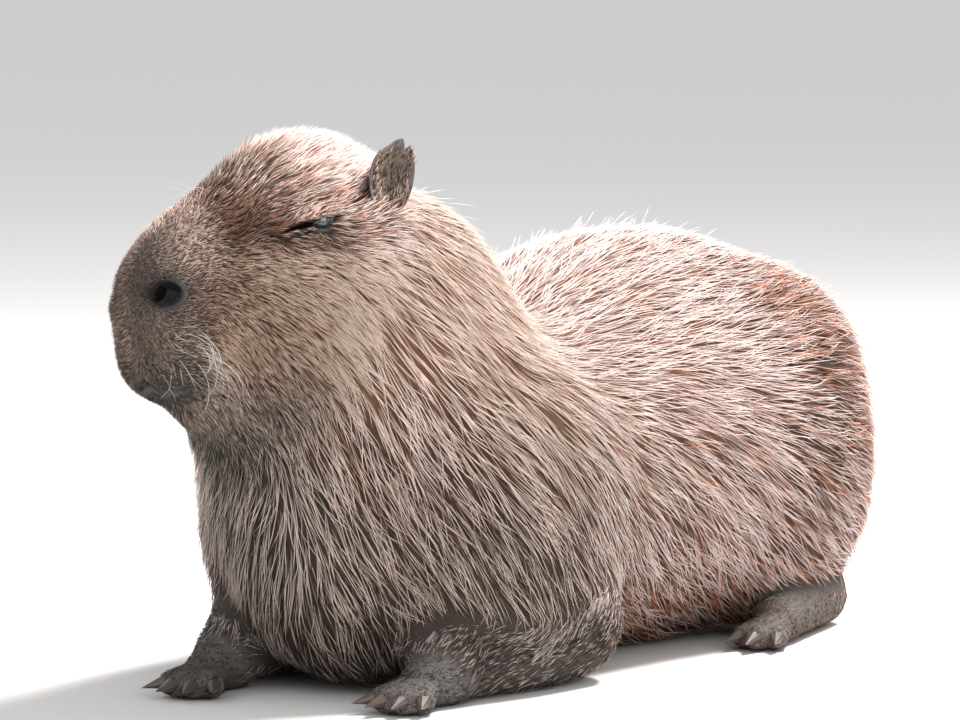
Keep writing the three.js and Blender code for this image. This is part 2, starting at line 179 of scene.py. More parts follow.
def to_mass(part, points):
    q = (points - part["centre"]) @ part["spin"]
    near = np.sqrt(((q / part["radii"]) ** 2).sum(1))
    slope = np.sqrt(((q / part["radii"] ** 2) ** 2).sum(1))
    return near * (near - 1) / np.maximum(slope, 1e-6)


def to_limb(part, points):
    core = part["end"] - part["start"]
    share = np.clip((points - part["start"]) @ core / (core @ core), 0, 1)
    axis = part["start"] + share[:, None] * core
    radius = part["radii"][0] + share * (part["radii"][1] - part["radii"][0])
    return np.sqrt(((points - axis) ** 2).sum(1)) - radius


YAW = np.array(Matrix.Rotation(HEAD_YAW, 3, "Z"))


def to_head(points):
    return (points - HEAD_PLACE) @ YAW


def from_head(points):
    return np.asarray(points, float) @ YAW.T + HEAD_PLACE


def mirrored(points):
    """The same points, all on the left side."""
    return np.column_stack([np.abs(points[:, 0]), points[:, 1], points[:, 2]])


def join_all(parts, points, measure):
    found = np.full(len(points), 1e4)
    for part in parts:
        found = smooth_join(found, measure(part, points), part["blend"])
    return found


def flesh(points):
    trunk = join_all(BODY, points, to_mass)
    head = join_all(HEAD, to_head(points), to_mass)
    found = smooth_join(trunk, head, 50)
    near = (points[:, 2] < 130) | (points[:, 1] > 380)
    low = points[near]
    part_found = found[near]
    for part in LIMBS:
        part_found = smooth_join(part_found, to_limb(part, mirrored(low)), part["blend"])
    part_found = smooth_join(part_found, to_limb(TAIL, low), TAIL["blend"])
    found[near] = part_found
    return found


def outward(points, step=0.8):
    slopes = [flesh(points + step * axis) - flesh(points - step * axis) for axis in np.eye(3)]
    slope = np.column_stack(slopes) / (2 * step)
    return slope / np.maximum(np.linalg.norm(slope, axis=1), 1e-6)[:, None]


def bump(value, width):
    return np.exp(-((value / width) ** 2))


def rise(low, high, value):
    share = np.clip((value - low) / (high - low), 0, 1)
    return share * share * (3 - 2 * share)


print("depth of the middle", -flesh(np.array([[0.0, 0.0, 150.0]]))[0].round(1))


# %% [markdown]
# ## Regions
# Every rule about the coat, such as its length, its lie and its colours, reads a few soft masks
# of where a point is on the animal.

# %% Region masks
HEAD_ROOT = from_head([[0, -18, 104]])[0]
HEAD_FACING = np.array([0, -0.86, 0.51]) @ YAW.T


def past_neck(points):
    """How far points are in front of the plane where the head meets the neck."""
    return (points - HEAD_ROOT) @ HEAD_FACING


def regions(points):
    q = to_head(points)
    x, y, z = points.T
    sided = mirrored(points)
    paw = np.zeros(len(points))
    for part in LIMBS[1:]:
        paw = np.maximum(paw, 1 - rise(-2, 10, to_limb(part, sided)))
    forearm = 1 - rise(0, 22, to_limb(LIMBS[0], sided))
    head = rise(-26, 12, past_neck(points))
    return {
        "q": q,
        "sided": mirrored(q),
        "head": head,
        "muzzle": rise(-126, -156, q[:, 1] - 0.12 * (q[:, 2] - 100)) * head,
        "nose_front": rise(-150, -176, q[:, 1]) * head,
        "paw": paw * (z < 60),
        "forearm": forearm * (z < 110) * (y < -60),
        "rump": rise(230, 400, y),
        "front": 1 - rise(-230, 40, y),
        "low": 1 - rise(20, 110, z),
    }


def skin_depth(where):
    depth = SKIN_DEPTH_BODY + (SKIN_DEPTH_FACE - SKIN_DEPTH_BODY) * where["head"]
    depth = depth + (SKIN_DEPTH_FOREARM - depth) * where["forearm"]
    depth = depth + (SKIN_DEPTH_PAW - depth) * where["paw"]
    return depth + (SKIN_DEPTH_MUZZLE - depth) * where["muzzle"]


print("head meets neck at", HEAD_ROOT.round(1))


# %% [markdown]
# ## Face
# The lids, nostrils, lips and the line of the mouth are worked into the skin as a sculptor
# would, by raising or sinking it along its own slope near a few named lines.

# %% Lines of the face
def surface_from(start, way, level=0.0):
    """Walks out from a point inside, in the head's frame, to the given level of the flesh."""
    way = np.array(way, float) / np.linalg.norm(way)
    gone = 0.0
    for _ in range(80):
        left = level - flesh(from_head([start + way * gone]))[0]
        if abs(left) < 0.01:
            break
        gone += left * 0.7
    return start + way * gone


SKULL_CORE = np.array([0.0, -95.0, 100.0])
nostril_at = surface_from(SKULL_CORE, NOSTRIL - SKULL_CORE, -1.5)
slit_y = math.cos(SLIT_TILT)
slit_z = math.sin(SLIT_TILT)
slit_middle = EYE_PLACE - (SLIT_AHEAD + SLIT_SHIFT) * np.array([0, slit_y, slit_z])
slit_at = surface_from(slit_middle * (0.35, 1, 1), (1, 0, 0), -3.0)
MOUTH = np.array([(33, -104, 44), (33, -128, 34), (27, -152, 27), (12, -178, 23), (0, -183, 24)], float)
mouth_on_skin = np.array([surface_from(SKULL_CORE, p - SKULL_CORE, -1.6) for p in MOUTH])
nostril_out = outward(from_head([nostril_at]))[0] @ YAW
nostril_back = np.cross(nostril_out, (0, 0, -1))
nostril_back /= np.linalg.norm(nostril_back)
nostril_up = np.cross(nostril_out, nostril_back)
print("slit", slit_at.round(1), "nostril", nostril_at.round(1))


def along_line(points, line):
    """Distance from each point to a polyline, and how far along it the nearest place is."""
    best = np.full(len(points), 1e9)
    share = np.zeros(len(points))
    for i in range(len(line) - 1):
        core = line[i + 1] - line[i]
        t = np.clip((points - line[i]) @ core / (core @ core), 0, 1)
        gap = np.linalg.norm(points - line[i] - t[:, None] * core, axis=1)
        nearer = gap < best
        best = np.where(nearer, gap, best)
        share = np.where(nearer, (i + t) / (len(line) - 1), share)
    return best, share


def eye_frame(q):
    """Along the slit, across it, and out of it, from the slit's middle, on the left side."""
    dy = q[:, 1] - slit_at[1]
    dz = q[:, 2] - slit_at[2]
    along = dy * slit_y + dz * slit_z
    across = dz * slit_y - dy * slit_z
    return along, across, q[:, 0] - slit_at[0]


def eye_edges(along):
    """Heights of the upper and the lower lid's edge over the slit's line."""
    span = np.sqrt(np.clip(1 - (along / (SLIT_LENGTH / 2)) ** 2, 0, 1))
    upper = 1.8 * span - 0.5 * bump(along - 17, 6)
    lower = -2.0 * span - 3.0 * bump(along - 14, 8) * span
    return upper, lower, span


def nostril_frame(q):
    """Back along the skin, up along it, and out of it, from the nostril's middle."""
    d = q - nostril_at
    return d @ nostril_back, d @ nostril_up, d @ nostril_out


def nostril_forms(q):
    """How near a point is to the funnel, the hole, its curl and the wet lower rim, 0 to 1."""
    u, v, w = nostril_frame(q)
    near = bump(w, 16)
    funnel = bump(np.hypot(u / 1.25, v), 12.0) * near
    hole = np.clip(1 - np.hypot((u + 4.5 - 0.25 * v) / 4.4, (v - 0.5) / 6.4), 0, 1) * near
    bend = np.hypot(u - 2.5, v + 2.0)
    curl = bump(bend - 8.6, 1.7) * rise(1.0, 5.0, v) * rise(-5, 0, u) * near
    rim = bump(bend - 6.6, 2.6) * rise(0.5, -3.0, v) * near
    return funnel, np.sqrt(hole), curl, rim


# %% [markdown]
# The lids are soft rolls along the slit, with creases beside them. A row of LID_FORMS has the
# height, the distance from one edge and the width of a roll or, where it is negative, a crease.
# A row of EYE_FORMS has the height, the place and width along the slit, and those across it.

# %% Relief of the face
LID_FORMS = [
    ("upper", 2.4, 3.2, 2.6),
    ("lower", 1.9, -3.0, 2.4),
    ("upper", -1.5, 9, 1.8),
    ("lower", -1.0, -8, 2.0),
    ("lower", -0.8, -13, 2.0),
]
EYE_FORMS = [(2.4, -2, 30, 19, 7), (1.8, 15, 13, 1, 11), (-1.6, -26, 7, -2, 7)]
SLIT_DEPTH = 11.0


def eye_relief(where):
    along, across, out = eye_frame(where["sided"])
    near_eye = (np.abs(out) < 26) * where["head"]
    upper, lower, span = eye_edges(along)
    edges = {"upper": upper, "lower": lower}
    lid = bump(along, 27) * near_eye
    relief = np.zeros(len(along))
    for edge, height, distance, width in LID_FORMS:
        relief += height * lid * bump(across - edges[edge] - distance, width)
    for height, place, length, level, width in EYE_FORMS:
        relief += height * bump(along - place, length) * bump(across - level, width) * near_eye
    middle, half = (upper + lower) / 2, (upper - lower) / 2
    inside = np.clip(1 - np.abs(across - middle) / np.maximum(half, 0.05), 0, 1)
    return relief - SLIT_DEPTH * (inside ** 0.4) * (span > 0) * near_eye


def face_relief(where):
    """How far the skin is raised, in millimetres, by the forms of the face."""
    q = where["sided"]
    relief = eye_relief(where)
    funnel, hole, curl, rim = nostril_forms(q)
    relief += (1.4 * rim - 4.6 * funnel - 10 * hole - 2.6 * curl) * where["head"]

    gap, share = along_line(q, mouth_on_skin)
    deep = 3.4 * (0.35 + 0.65 * rise(0.0, 0.35, share))
    relief -= deep * bump(gap, 2.2) * where["head"]
    relief += 1.2 * bump(gap - 6.5, 4.5) * where["head"]

    front = rise(-150, -170, q[:, 1]) * where["head"]
    cleft = rise(20, 32, q[:, 2]) * (1 - rise(84, 100, q[:, 2]))
    relief -= 1.6 * bump(q[:, 0], 2.4) * cleft * front
    return relief


def body_folds(points):
    """Soft folds of loose skin on the neck and behind the shoulder."""
    x, y, z = points.T
    fold = np.zeros(len(points))
    for offset, deep in ((8, 3.0), (58, 2.4), (104, 2.0)):
        line = past_neck(points) + offset + 7 * np.sin(z / 34 + offset)
        fold -= deep * bump(line, 8) * rise(120, 170, z) * rise(20, 80, np.abs(x + 12))
    shoulder = bump(y + 78 - 0.30 * (z - 150), 13) * rise(90, 130, np.abs(x))
    fold -= 3.2 * shoulder * rise(60, 110, z) * (1 - rise(230, 280, z))
    haunch = np.sqrt(((y - 262) / 132) ** 2 + ((z - 120) / 118) ** 2)
    haunch_front = bump((haunch - 1) * 120, 15) * rise(110, 140, np.abs(x)) * (y < 280)
    fold -= 3.6 * haunch_front * rise(40, 80, z)
    return fold


def skin_level(points):
    where = regions(points)
    return -skin_depth(where) + face_relief(where) + body_folds(points)

# %% [markdown]
# ## Skin
# Rough ellipsoids are joined and remeshed into one closed surface, as the real skin is. The face
# is divided finer, and then each point is drawn onto the flesh's own surface, less the depth of
# the coat.

# %% Rough skin
def placed(name, data):
    obj = bpy.data.objects.new(name, data)
    scene.collection.objects.link(obj)
    return obj


def smoothed(data):
    data.polygons.foreach_set("use_smooth", [True] * len(data.polygons))
    return data


def mesh_object(name, verts, faces):
    data = bpy.data.meshes.new(name)
    data.from_pydata(verts, [], faces)
    data.update()
    return placed(name, data)


def rough_flesh():
    bm = bmesh.new()
    for parts, on_head in ((BODY, False), (HEAD, True)):
        for part in parts:
            made = bmesh.ops.create_icosphere(bm, subdivisions=3, radius=1.0)["verts"]
            co = np.array([v.co for v in made]) * part["radii"] @ part["spin"].T + part["centre"]
            if on_head:
                co = from_head(co)
            for v, c in zip(made, co):
                v.co = c * MM
    for part in LIMBS + [TAIL]:
        for flip in (1, -1):
            for share in np.linspace(0, 1, 7):
                at = part["start"] + share * (part["end"] - part["start"])
                radius = part["radii"][0] + share * (part["radii"][1] - part["radii"][0])
                made = bmesh.ops.create_icosphere(bm, subdivisions=2, radius=radius * MM)["verts"]
                for v in made:
                    v.co += Vector((at[0] * flip, at[1], at[2])) * MM
    data = bpy.data.meshes.new("rough")
    bm.to_mesh(data)
    bm.free()
    return data


def remeshed(data, voxel):
    obj = placed("rough", data)
    step = obj.modifiers.new("voxels", "REMESH")
    step.mode = "VOXEL"
    step.voxel_size = voxel
    bpy.context.view_layer.update()
    made = bpy.data.meshes.new_from_object(obj.evaluated_get(bpy.context.evaluated_depsgraph_get()))
    bpy.data.objects.remove(obj)
    return made


def settle(points, rounds=4):
    for _ in range(rounds):
        out = outward(points)
        points = points - (flesh(points) - skin_level(points))[:, None] * out * 0.9
    return points


def fine_regions(q, level):
    """Where the skin is divided finer: twice over the face's lines, once more at eye and nostril."""
    sided = mirrored(q)
    along, across, out = eye_frame(sided)
    wide = 1.0 if level < 2 else 0.72
    eye = (np.abs(along) < 36 * wide) & (np.abs(across) < 22 * wide) & (np.abs(out) < 30)
    nose = np.linalg.norm(sided - nostril_at, axis=1) < 26 * wide
    if level == 2:
        return eye | nose
    mouth = along_line(sided, mouth_on_skin)[0] < 12
    cleft = (sided[:, 0] < 9) & (q[:, 1] < -140) & (q[:, 2] < 105)
    return eye | nose | mouth | cleft


voxel = 0.005
skin_data = remeshed(rough_flesh(), voxel)
bm = bmesh.new()
bm.from_mesh(skin_data)
for level in range(3):
    middles = to_head(np.array([f.calc_center_median() for f in bm.faces]) / MM)
    picked = np.nonzero(fine_regions(middles, level))[0]
    bm.faces.ensure_lookup_table()
    edges = {e for i in picked for e in bm.faces[i].edges}
    bmesh.ops.subdivide_edges(bm, edges=list(edges), cuts=1, use_grid_fill=True)
bmesh.ops.triangulate(bm, faces=[f for f in bm.faces if len(f.verts) > 4])
bm.to_mesh(skin_data)
bm.free()
co = np.zeros(len(skin_data.vertices) * 3)
skin_data.vertices.foreach_get("co", co)
co = settle(co.reshape(-1, 3) / MM)
co[:, 2] = np.maximum(co[:, 2], 0.0)
skin_data.vertices.foreach_set("co", (co * MM).ravel())
skin_data.update()
skin = placed("skin", smoothed(skin_data))
print("skin", len(skin_data.vertices), "points", len(skin_data.polygons), "faces")


# %% [markdown]
# The skin is unwrapped by its own angles. The coat's pieces keep a small patch of this map at
# each root, so that a texture baked later finds every tuft.

# %% Unwrap of the skin
bpy.context.view_layer.objects.active = skin
skin.select_set(True)
skin_data.uv_layers.new(name="OFBake")
bpy.ops.object.mode_set(mode="EDIT")
bpy.ops.mesh.select_all(action="SELECT")
bpy.ops.uv.smart_project(angle_limit=math.radians(66), island_margin=0.002)
bpy.ops.object.mode_set(mode="OBJECT")
skin.select_set(False)
print("unwrapped", skin_data.uv_layers.active.name)


# %% [markdown]
# ## Colours
# Three shares are worked out from where a point is: how red, how dark and how pale the coat is
# there. The dark share also holds painted shade, and the pale share painted light where the light
# falls from above. Skin and coat carry the same shares as a colour attribute, and one shader group
# turns them into colours.

# %% Marks
def wave(points, size, seed):
    """A smooth random value from -1 to 1 with the given wavelength."""
    local = np.random.default_rng(seed)
    found = np.zeros(len(points))
    for _ in range(5):
        way = local.normal(size=3)
        way /= np.linalg.norm(way)
        turns = 2 * math.pi / (size * local.uniform(0.7, 1.4))
        found += np.sin(points @ way * turns + local.uniform(0, 6.3))
    return found / 3.2


WHIRL = np.array([114.0, 246.0, 236.0])


def body_marks(points, where):
    """Red, dark and pale shares on the trunk, with the rusty whirl, a painted shade band on the haunch,
    painted light on top and painted shade low down.
    """
    x, y, z = points.T
    front, rump = where["front"], where["rump"]
    # Painted light: the coat is made paler towards the top of the back, where the light from above falls.
    sunlit_top = rise(120, 320, z)
    low_flank = (1 - rise(60, 180, z)) * (1 - front)
    rump_top = bump(np.linalg.norm(mirrored(points) - WHIRL, axis=1), 74)
    # Painted shade: a dark band down the back of the haunch, where its side turns away from the light.
    haunch_shade = bump(0.883 * x + 0.469 * y - 262, 26) * (y > 60)
    haunch_shade = haunch_shade * rise(60, 120, z) * (1 - rise(230, 270, z))
    red = 0.62 - 0.22 * front + 0.22 * rump + 0.6 * rump_top + 0.25 * low_flank
    # Painted shade: the chest under the head and the low parts of the trunk are made darker, and the low
    # parts less pale.
    dark_and_shade = 0.03 + 0.75 * front * (1 - rise(110, 260, z)) + 0.40 * haunch_shade + 0.15 * where["low"]
    pale_and_lit = 0.62 + 0.36 * sunlit_top + 0.10 * rump - 0.30 * where["low"] - 0.15 * haunch_shade - 0.85 * rump_top
    # Painted shade: the lower front is made less pale.
    pale_and_lit = pale_and_lit - 0.10 * front * (1 - sunlit_top)
    return np.column_stack([red, dark_and_shade, pale_and_lit])


def face_marks(where):
    """Red, dark and pale shares on the head, by its crown, brow, bridge and lids, with painted shade under
    it.
    """
    q, sided, muzzle = where["q"], where["sided"], where["muzzle"]
    crown = rise(165, 198, q[:, 2]) * rise(-105, -55, q[:, 1])
    bridge = muzzle * rise(105, 145, q[:, 2])
    brow = rise(122, 150, q[:, 2]) * (1 - crown) * (1 - muzzle)
    rear = rise(-100, -30, q[:, 1])
    # Painted shade: the underside of the head is made darker and less pale.
    underside_shade = 1 - rise(10, 75, q[:, 2])
    along, across, out = eye_frame(sided)
    lid = bump(along - 2, 20) * bump(across - 10, 7) * (np.abs(out) < 30)
    nose = bump(np.linalg.norm(sided - nostril_at, axis=1), 19)
    red = 0.14 + 0.14 * rear + 0.50 * crown + 0.28 * brow + 0.16 * bridge
    dark_and_shade = 0.12 - 0.10 * rear + 0.34 * muzzle + 0.78 * underside_shade + 0.42 * brow
    dark_and_shade = dark_and_shade - 0.22 * lid + 0.6 * nose - 0.10 * bridge
    pale_and_lit = 0.52 + 0.30 * rear - 0.10 * crown - 0.50 * brow - 0.34 * muzzle
    pale_and_lit = pale_and_lit - 0.32 * underside_shade + 0.18 * lid + 0.26 * bridge
    return np.column_stack([red, dark_and_shade, pale_and_lit])


def marks(points, where):
    """Red, dark and pale shares anywhere, each from 0 to 1."""
    head = where["head"][:, None]
    red, dark_and_shade, pale_and_lit = ((1 - head) * body_marks(points, where) + head * face_marks(where)).T
    # Painted shade: the throat under the jaw is made darker.
    throat_shade = bump(past_neck(points) + 4, 46) * (1 - rise(150, 240, points[:, 2]))
    # Painted light: the top of the neck behind the ears is made paler, as on the sunlit back.
    neck_top_light = bump(past_neck(points) + 34, 30) * rise(220, 300, points[:, 2])
    patch = 0.10 * wave(points, 70, 3)
    red = red + patch
    dark_and_shade = dark_and_shade + 0.8 * throat_shade + 0.45 * where["paw"] + 0.18 * where["forearm"] - patch
    pale_and_lit = pale_and_lit + 0.9 * neck_top_light - 0.3 * where["paw"] + 0.12 * wave(points, 90, 5)
    return np.clip(np.column_stack([red, dark_and_shade, pale_and_lit]), 0, 1)


def bareness(where):
    """Black, bare and wet shares of the skin, each from 0 to 1; black is partly the lids' own black and
    partly painted shade in slit, nostril and mouth.
    """
    q, sided = where["q"], where["sided"]
    along, across, out = eye_frame(sided)
    near = (np.abs(out) < 22) * where["head"]
    upper, lower, span = eye_edges(along)
    margin = bump(np.minimum(np.abs(across - upper), np.abs(across - lower)), 1.9) * rise(0, 0.4, span)
    slit = ((across < upper) & (across > lower)) | (margin > 0.5)
    tear = bump(along + 24, 4) * bump(across + 0.6, 1.8)
    funnel, hole, curl, rim = nostril_forms(sided)
    gap = along_line(sided, mouth_on_skin)[0]
    # The black share holds the lids' own black margins and, as painted shade, the inside of the slit.
    black_and_shade = np.maximum(slit * near, margin * near) + 0.7 * tear * near
    # Painted shade: the middle of the nostril's funnel, its hole, its curl and the line of the mouth are
    # painted near-black where the skin sinks.
    funnel_shade = 0.95 * rise(0.18, 0.55, funnel)
    black_and_shade = black_and_shade + (1.6 * hole + 0.9 * curl + funnel_shade + 0.9 * bump(gap, 2.4)) * where["head"]
    gland = bump(q[:, 0], 25) * bump(q[:, 1] + 128, 15) * rise(140, 160, q[:, 2])
    bare = 0.55 * where["muzzle"] + 0.75 * where["paw"] + 0.8 * gland + funnel + 0.2 * where["forearm"]
    wet = 0.55 * rim + 0.4 * slit * near + 0.75 * gland + 0.15 * where["nose_front"]
    return np.clip(np.column_stack([black_and_shade, bare, wet]), 0, 1)


def set_colour(data, name, rgb):
    layer = data.color_attributes.new(name=name, type="FLOAT_COLOR", domain="POINT")
    rgba = np.ones((len(rgb), 4), np.float32)
    rgba[:, :3] = rgb
    layer.data.foreach_set("color", rgba.ravel())


on_skin = regions(co)
skin_marks = marks(co, on_skin)
set_colour(skin_data, "marks", skin_marks)
set_colour(skin_data, "tuft", np.tile([0.0, 0.3, 1.0], (len(co), 1)))
set_colour(skin_data, "bare", bareness(on_skin))
print("marks", skin_marks.mean(0).round(2))


# %% [markdown]
# ## Lie of the coat
# The hair lies back along the muzzle, back and down over the cheek and the neck, straight down
# over the shoulder, and back along the flank until it turns down over the rump.

# %% Lie
def unit(v):
    return v / np.maximum(np.linalg.norm(v, axis=1), 1e-9)[:, None]


def lie(points, out):
    where = regions(points)
    side = np.abs(out[:, 0])
    x, y, z = points.T
    front, rump = where["front"], rise(350, 440, y)
    haunch = bump(y - 290, 120) * (z < 300)
    down = 0.20 + 0.72 * side * (1 - rise(60, 320, z)) * (1 - 0.5 * haunch)
    down = down + (1.7 - down) * front * side + 1.6 * rump
    body = np.column_stack([0.25 * np.sign(x) * side * (1 - side), 1 - 0.8 * rump, -down])
    leg = where["forearm"][:, None]
    body = body * (1 - leg) + np.array([0.0, -1.0, -0.25]) * leg
    paw = where["paw"][:, None]
    body = body * (1 - paw) + np.array([0.0, -1.0, -0.2]) * paw
    q = where["q"]
    local = out @ YAW
    cheek = rise(175, 70, q[:, 2]) * (1 - where["muzzle"]) * (1 + 0.9 * rise(-90, -20, q[:, 1]))
    head = np.column_stack([
        0.20 * np.clip(q[:, 0] / 8, -1, 1) * (1 - np.abs(local[:, 0])),
        np.ones(len(q)),
        0.05 - 0.75 * cheek,
    ])
    front_face = where["nose_front"] * rise(-0.4, -0.85, local[:, 1])
    fan = np.column_stack([np.clip(q[:, 0] / 8, -1, 1), 0.3 * np.ones(len(q)), -0.5 * np.ones(len(q))])
    head = head * (1 - front_face[:, None]) + fan * front_face[:, None]
    along, across, _ = eye_frame(where["sided"])
    near = bump(along, 30) * bump(across, 16)
    head[:, 2] += near * np.clip(across / 9, -1, 1) * 0.9
    head[:, 2] += 0.7 * bump(np.linalg.norm(where["sided"] - EAR_PLACE, axis=1), 40)
    head = head @ YAW.T
    share = where["head"][:, None]
    way = unit(body) * (1 - share) + unit(head) * share
    way = way - (way * out).sum(1)[:, None] * out
    return unit(way)

# %% [markdown]
# ## Coat
# The hair goes from bristles of six centimetres on the rump to stubble of a few millimetres on
# the muzzle. Hair curves would be lighter, but the kept model is a mesh, so each tuft is a flat,
# tapered, three-sided spike that bends along the surface.

# %% Tuft sizes
def coat_sizes(points, where):
    """Length, width and height of the tip over the flesh's surface, in millimetres."""
    head, q, sided = where["head"], where["q"], where["sided"]
    rear = rise(-135, -45, q[:, 1])
    crown = rise(165, 195, q[:, 2]) * rise(-125, -70, q[:, 1])
    ear_base = bump(np.linalg.norm((sided - EAR_PLACE - (4, -4, -26)) / (1, 1, 0.8), axis=1), 27)
    length = 48 + 14 * where["rump"]
    width = 1.3 + 0.25 * where["rump"]
    tip = np.full(len(points), -0.6)
    length = length + (9.5 + 11 * rear + 5 * crown - length) * head
    length = length + 9 * ear_base
    width = width + (0.9 + 0.2 * rear - width) * head
    tip = tip + (0.3 + 5.2 * crown + 7 * ear_base - tip) * head
    along, across, out = eye_frame(sided)
    near_eye = bump(along, 26) * bump(across, 12) * (np.abs(out) < 30) * head
    near_nose = bump(np.linalg.norm(sided - nostril_at, axis=1), 18) * head
    short_places = [
        (where["muzzle"], 5.2, 0.8),
        (where["forearm"], 17, 1.4),
        (where["paw"], 7, 1.0),
        (near_eye, 5.0, 0.7),
        (near_nose, 3.0, 0.55),
    ]
    for share, long, wide in short_places:
        length = length + (long - length) * share
        width = width + (wide - width) * share
    return length, width, tip


sizes = coat_sizes(co, on_skin)
print("hair lengths", sizes[0].min().round(1), "to", sizes[0].max().round(1))


# %% [markdown]
# A triangle of the skin gets roots by its area over the area that one tuft covers, so stubble
# stands closer than bristles. The slits of the eyes and the nostrils stay bare.

# %% Roots
def skin_triangles():
    """Corners of the skin's triangles, in millimetres, and on its unwrapped map."""
    skin_data.calc_loop_triangles()
    found = []
    for what in ("vertices", "loops"):
        index = np.zeros(len(skin_data.loop_triangles) * 3, np.int64)
        skin_data.loop_triangles.foreach_get(what, index)
        found.append(index.reshape(-1, 3))
    uv = np.zeros(len(skin_data.loops) * 2)
    skin_data.uv_layers["OFBake"].data.foreach_get("uv", uv)
    return co[found[0]], uv.reshape(-1, 2)[found[1]]


def roots(count, on_head):
    """Random places on the skin, closer together where the tufts are small."""
    corners, uv = skin_triangles()
    middle = corners.mean(1)
    sides = np.cross(corners[:, 1] - corners[:, 0], corners[:, 2] - corners[:, 0])
    area = np.linalg.norm(sides, axis=1) / 2
    where = regions(middle)
    length, width, _ = coat_sizes(middle, where)
    black_and_shade, _, wet = bareness(where).T
    want = area / (length * width)
    want *= (where["head"] > 0.5) == on_head
    want *= (1 - 0.65 * (middle[:, 2] < 30) * (1 - where["paw"])) * (middle[:, 2] > 1.5)
    want *= 1 + 0.8 * where["forearm"] + 0.8 * where["paw"]
    want *= (1 - 0.35 * where["muzzle"]) * (1 - 0.8 * wet) * (black_and_shade < 0.5)
    picked = rng.choice(len(want), count, p=want / want.sum())
    a, b = rng.random(count), rng.random(count)
    over = a + b > 1
    a[over], b[over] = 1 - a[over], 1 - b[over]
    weights = np.column_stack([1 - a - b, a, b])
    places = (corners[picked] * weights[:, :, None]).sum(1)
    root_uv = (uv[picked] * weights[:, :, None]).sum(1)
    return places, root_uv

# %% [markdown]
# A tuft takes a few steps from its root along the lie, with a small turn of its own. Neighbours
# turn alike, so that the coat parts into strands, and a few strays stand up along the back.

# %% Grow the tufts
SIDES = 3
FLATNESS = 0.55
PATCH = 0.003


def grow(places, rings, thicken):
    """The middle line of each tuft, with its frame, from root to tip."""
    count = len(places)
    where = regions(places)
    length, width, tip = coat_sizes(places, where)
    length = length * rng.uniform(0.7, 1.2, count)
    width = width * rng.uniform(0.65, 1.25, count) * thicken
    level = skin_level(places)
    head = where["head"]
    ridge = rise(150, 300, places[:, 2]) * (1 - head)
    stray = (rng.random(count) < 0.05) * rng.uniform(0.2, 1.0, count) * ridge
    on_edge = (rng.random(count) < 0.012) * rng.uniform(0.5, 1.0, count) * ridge
    tip = tip * rng.uniform(0.4, 1.6, count) + rng.uniform(-2.4, 0.9, count) * (1 - head)
    tip = tip + 9.0 * stray + 15.0 * on_edge + 1.1 * head * rng.uniform(-0.6, 1.0, count)
    turn = rng.normal(0, 0.10, count) + 0.20 * wave(places, 30, 11) + 0.12 * wave(places, 10, 12)
    here = places.copy()
    line, outs, crosses = [], [], []
    for ring in range(rings + 1):
        share = ring / rings
        out = outward(here)
        way = lie(here, out)
        cross = np.cross(way, out)
        way = way * np.cos(turn)[:, None] + cross * np.sin(turn)[:, None]
        height = level - 1.0 + (tip - level + 1.0) * (0.15 * share + 0.85 * share ** 1.4)
        here = here + out * (height - flesh(here))[:, None]
        here[:, 2] = np.maximum(here[:, 2], LOWEST_HAIR)
        line.append(here)
        outs.append(out)
        crosses.append(np.cross(way, out))
        here = here + way * (length / rings)[:, None]
        turn = turn * 1.15
    return np.stack(line, 1), np.stack(outs, 1), np.stack(crosses, 1), width


def tuft_mesh(name, form, root_uv, tones, tuft_marks):
    """One mesh of many closed, three-sided spikes along the lines of `form`."""
    line, outs, crosses, width = form
    count, rings = len(line), line.shape[1] - 1
    verts = np.zeros((count, rings * SIDES + 1, 3))
    for ring in range(rings):
        half = (width * (1 - 0.85 * (ring / rings) ** 2) / 2)[:, None]
        for side in range(SIDES):
            angle = math.pi / 2 + side * math.tau / SIDES
            verts[:, ring * SIDES + side] = (
                line[:, ring]
                + crosses[:, ring] * math.cos(angle) * half
                + outs[:, ring] * math.sin(angle) * half * FLATNESS
            )
    verts[:, -1] = line[:, rings]
    tris = [(0, 2, 1)]
    for ring in range(rings - 1):
        for side in range(SIDES):
            a, b = ring * SIDES + side, ring * SIDES + (side + 1) % SIDES
            tris += [(a, b, a + SIDES), (b, b + SIDES, a + SIDES)]
    for side in range(SIDES):
        a, b = (rings - 1) * SIDES + side, (rings - 1) * SIDES + (side + 1) % SIDES
        tris.append((a, b, rings * SIDES))
    tris = np.array(tris)
    per = rings * SIDES + 1
    faces = (tris[None] + np.arange(count)[:, None, None] * per).reshape(-1, 3)
    data = bpy.data.meshes.new(name)
    data.vertices.add(count * per)
    data.vertices.foreach_set("co", (verts * MM).ravel())
    data.loops.add(len(faces) * 3)
    data.loops.foreach_set("vertex_index", faces.ravel().astype(np.int32))
    data.polygons.add(len(faces))
    data.polygons.foreach_set("loop_start", np.arange(len(faces), dtype=np.int32) * 3)
    data.update(calc_edges=True)
    share = np.tile(np.append(np.repeat(np.arange(rings) / rings, SIDES), 1.0), count)
    rgb = np.column_stack([share, np.repeat(tones[:, 0], per), np.repeat(tones[:, 1], per)])
    set_colour(data, "tuft", rgb)
    set_colour(data, "marks", np.repeat(tuft_marks, per, axis=0))
    spread = PATCH * (share - 0.5)
    sides = np.tile(np.append(np.tile(np.arange(SIDES) / (SIDES - 1) - 0.5, rings), 0.0), count) * PATCH
    uv = np.repeat(root_uv, per, axis=0) + np.column_stack([sides, spread])
    layer = data.uv_layers.new(name="OFBake")
    layer.data.foreach_set("uv", np.clip(uv, 0, 1)[faces.ravel()].ravel())
    return placed(name, smoothed(data))


# %% [markdown]
# The coat is grown in two goes, the head's with two steps to a tuft and the body's with three,
# and cut from nose to rump into pieces of under 200,000 triangles.

